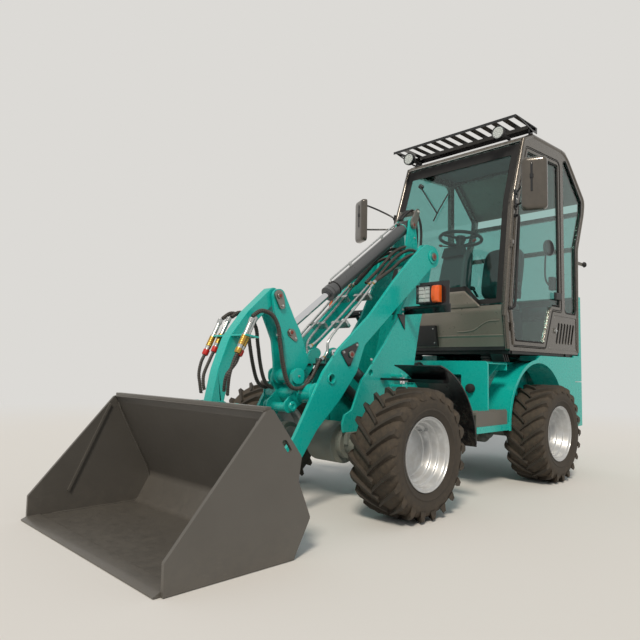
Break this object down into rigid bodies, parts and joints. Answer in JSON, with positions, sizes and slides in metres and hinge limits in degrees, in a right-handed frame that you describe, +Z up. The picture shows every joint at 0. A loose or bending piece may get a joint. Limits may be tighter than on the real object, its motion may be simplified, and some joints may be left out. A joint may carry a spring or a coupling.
{
  "type": "compact articulated wheel loader",
  "caption": "Compact articulated wheel loader with a glazed cab, a parallel-lift arm, a wide bucket and lugged tyres; its joints steer, lift, dump and roll.",
  "frame": {"origin": "on the ground, in the middle of the whole length and width", "axes": "+X forward, towards the bucket; +Y to the driver's left; +Z up"},
  "size_m": [4.704, 1.96, 3.0195],
  "materials": {
    "teal_paint": "gloss teal machine paint",
    "cab_grey": "satin dark grey paint",
    "bucket_grey": "satin charcoal paint",
    "black_paint": "satin black paint",
    "black_plastic": "moulded black plastic",
    "tyre_rubber": "dusty black tyre rubber",
    "rim_silver": "silver rim paint",
    "cast_grey": "painted castings",
    "cylinder_grey": "satin grey paint",
    "chrome_rod": "ground chrome",
    "pin_steel": "turned steel",
    "clear_glass": "clear, slightly green",
    "lamp_lens": "ribbed clear lens",
    "amber_lens": "amber lens",
    "seat_vinyl": "black vinyl",
    "mount_rubber": "black rubber"
  },
  "bodies": {
    "rear": {"rear_frame": "teal_paint", "rear_axle": "cast_grey", "engine": "cast_grey", "counterweight": "teal_paint", "side_panels": "teal_paint", "steps": "cab_grey", "cab_mounts": "mount_rubber", "cab_frame": "black_paint", "cab_roof": "cab_grey", "cab_nose": "cab_grey", "cab_floor": "black_paint", "cab_rear_panel": "cab_grey", "vent_panels": "cab_grey", "cab_glass": "clear_glass", "visor": "black_paint", "work_lamps": "black_plastic", "mirrors": "black_plastic", "seat_base": "black_paint", "seat": "seat_vinyl", "steering_column": "black_plastic", "console": "black_plastic"},
    "front": {"front_frame": "teal_paint", "front_axle": "cast_grey", "front_fenders": "black_paint", "lamp_brackets": "black_paint", "headlamps": "lamp_lens", "indicator_lamps": "amber_lens"},
    "arm": {"lift_arm": "teal_paint"},
    "nose": {"nose_pins": "pin_steel"},
    "bucket_body": {"hitch": "teal_paint", "bucket": "bucket_grey", "bucket_edge": "bucket_grey"},
    "crank_shaft": {"crank_pin": "pin_steel"},
    "crank": {"bell_crank": "teal_paint"},
    "link_shaft": {"link_pin": "pin_steel"},
    "link": {"tilt_link": "teal_paint", "coupler_block": "black_paint"},
    "tilt_shaft": {"tilt_pin": "pin_steel"},
    "tilt_tube": {"tilt_barrel": "cylinder_grey"},
    "tilt_piston": {"tilt_rod": "chrome_rod"},
    "lift_tubes": {"lift_barrels": "cylinder_grey"},
    "lift_pistons": {"lift_rods": "chrome_rod"},
    "steer_tube": {"steer_barrel": "cylinder_grey"},
    "steer_piston": {"steer_rod": "chrome_rod"},
    "door": {"door_frame": "black_paint", "door_glass": "clear_glass"},
    "hood_body": {"hood": "teal_paint"},
    "handwheel": {"steering_wheel": "black_plastic"},
    "wheel_front_left": {"tyre_front_left": "tyre_rubber", "rim_front_left": "rim_silver"},
    "wheel_front_right": {"tyre_front_right": "tyre_rubber", "rim_front_right": "rim_silver"},
    "wheel_rear_left": {"tyre_rear_left": "tyre_rubber", "rim_rear_left": "rim_silver"},
    "wheel_rear_right": {"tyre_rear_right": "tyre_rubber", "rim_rear_right": "rim_silver"}
  },
  "joints": [
    {"name": "steer", "type": "hinge", "parent": "rear", "child": "front", "pos_m": [-0.322, 0, 0.596], "axis": [0, 0, 1], "range_deg": [-35, 35]},
    {"name": "steer_barrel_swing", "type": "hinge", "parent": "rear", "child": "steer_tube", "pos_m": [-0.627, 0.242, 0.815], "axis": [0, 0, 1], "range_deg": [-22.5, 22.5]},
    {"name": "steer_rod_slide", "type": "slide", "parent": "steer_tube", "child": "steer_piston", "axis": [0.9993, 0.0372, 0], "range_m": [-0.153, 0.153]},
    {"name": "lift", "type": "hinge", "parent": "front", "child": "arm", "pos_m": [-0.242, 0, 1.775], "axis": [0, -1, 0], "range_deg": [0, 57]},
    {"name": "nose_level", "type": "hinge", "parent": "arm", "child": "nose", "pos_m": [1.443, 0, 0.147], "axis": [0, -1, 0], "range_deg": [-57.5, 0.5]},
    {"name": "bucket_tilt", "type": "hinge", "parent": "nose", "child": "bucket_body", "pos_m": [1.443, 0, 0.147], "axis": [0, 1, 0], "range_deg": [-40, 42]},
    {"name": "crank_level", "type": "hinge", "parent": "arm", "child": "crank_shaft", "pos_m": [1.038, 0, 0.842], "axis": [0, -1, 0], "range_deg": [-57.5, 0.5]},
    {"name": "crank_turn", "type": "hinge", "parent": "crank_shaft", "child": "crank", "pos_m": [1.038, 0, 0.842], "axis": [0, 1, 0], "range_deg": [-40.5, 42.5]},
    {"name": "link_follow_arm", "type": "hinge", "parent": "crank", "child": "link_shaft", "pos_m": [1.178, 0, 1.34], "axis": [0, -1, 0], "range_deg": [-0.5, 57.5]},
    {"name": "link_follow_crank", "type": "hinge", "parent": "link_shaft", "child": "link", "pos_m": [1.178, 0, 1.34], "axis": [0, 1, 0], "range_deg": [-42.5, 40.5]},
    {"name": "tilt_pin_turn", "type": "hinge", "parent": "front", "child": "tilt_shaft", "pos_m": [-0.212, 0, 2.05], "axis": [0, -1, 0], "range_deg": [-3.5, 3.5]},
    {"name": "tilt_barrel_swing", "type": "hinge", "parent": "tilt_shaft", "child": "tilt_tube", "pos_m": [-0.212, 0, 2.05], "axis": [0, -1, 0], "range_deg": [-0.5, 57.5]},
    {"name": "tilt_rod_slide", "type": "slide", "parent": "tilt_tube", "child": "tilt_piston", "axis": [0.8081, 0, -0.589], "range_m": [-0.16, 0.17]},
    {"name": "lift_barrel_swing", "type": "hinge", "parent": "front", "child": "lift_tubes", "pos_m": [-0.222, 0, 0.38], "axis": [0, -1, 0], "range_deg": [-0.5, 23.5]},
    {"name": "lift_rod_slide", "type": "slide", "parent": "lift_tubes", "child": "lift_pistons", "axis": [0.8332, 0, 0.553], "range_m": [-0.005, 1.035]},
    {"name": "door_swing", "type": "hinge", "parent": "rear", "child": "door", "pos_m": [-0.782, 0.626, 1.3], "axis": [0, 0, -1], "range_deg": [0, 90]},
    {"name": "hood_swing", "type": "hinge", "parent": "rear", "child": "hood_body", "pos_m": [-2.008, -0.636, 0.93], "axis": [0, 0, 1], "range_deg": [0, 95]},
    {"name": "roll_front_left", "type": "hinge", "parent": "front", "child": "wheel_front_left", "pos_m": [0.598, 0.657, 0.395], "axis": [0, 1, 0], "continuous": true},
    {"name": "roll_front_right", "type": "hinge", "parent": "front", "child": "wheel_front_right", "pos_m": [0.598, -0.657, 0.395], "axis": [0, 1, 0], "continuous": true},
    {"name": "roll_rear_left", "type": "hinge", "parent": "rear", "child": "wheel_rear_left", "pos_m": [-1.252, 0.657, 0.395], "axis": [0, 1, 0], "continuous": true},
    {"name": "roll_rear_right", "type": "hinge", "parent": "rear", "child": "wheel_rear_right", "pos_m": [-1.252, -0.657, 0.395], "axis": [0, 1, 0], "continuous": true},
    {"name": "handwheel_turn", "type": "hinge", "parent": "rear", "child": "handwheel", "pos_m": [-1.04211, 0, 2.09067], "axis": [-0.1627, 0, 0.9867], "continuous": true}
  ],
  "couplings": [
    {"joint": "steer_barrel_swing", "follows": "steer", "ratio": 0.632},
    {"joint": "steer_rod_slide", "follows": "steer", "m_per_rad": -0.25},
    {"joint": "nose_level", "follows": "lift", "ratio": -1},
    {"joint": "crank_level", "follows": "lift", "ratio": -1},
    {"joint": "link_follow_arm", "follows": "lift", "ratio": 1},
    {"joint": "tilt_barrel_swing", "follows": "lift", "ratio": 0.975},
    {"joint": "tilt_pin_turn", "follows": "bucket_tilt", "ratio": 0.072},
    {"joint": "lift_barrel_swing", "follows": "lift", "ratio": 0.399},
    {"joint": "lift_rod_slide", "follows": "lift", "m_per_rad": 1.0355},
    {"joint": "crank_turn", "follows": "bucket_tilt", "ratio": 1},
    {"joint": "link_follow_crank", "follows": "bucket_tilt", "ratio": -1},
    {"joint": "tilt_rod_slide", "follows": "bucket_tilt", "m_per_rad": 0.214}
  ]
}
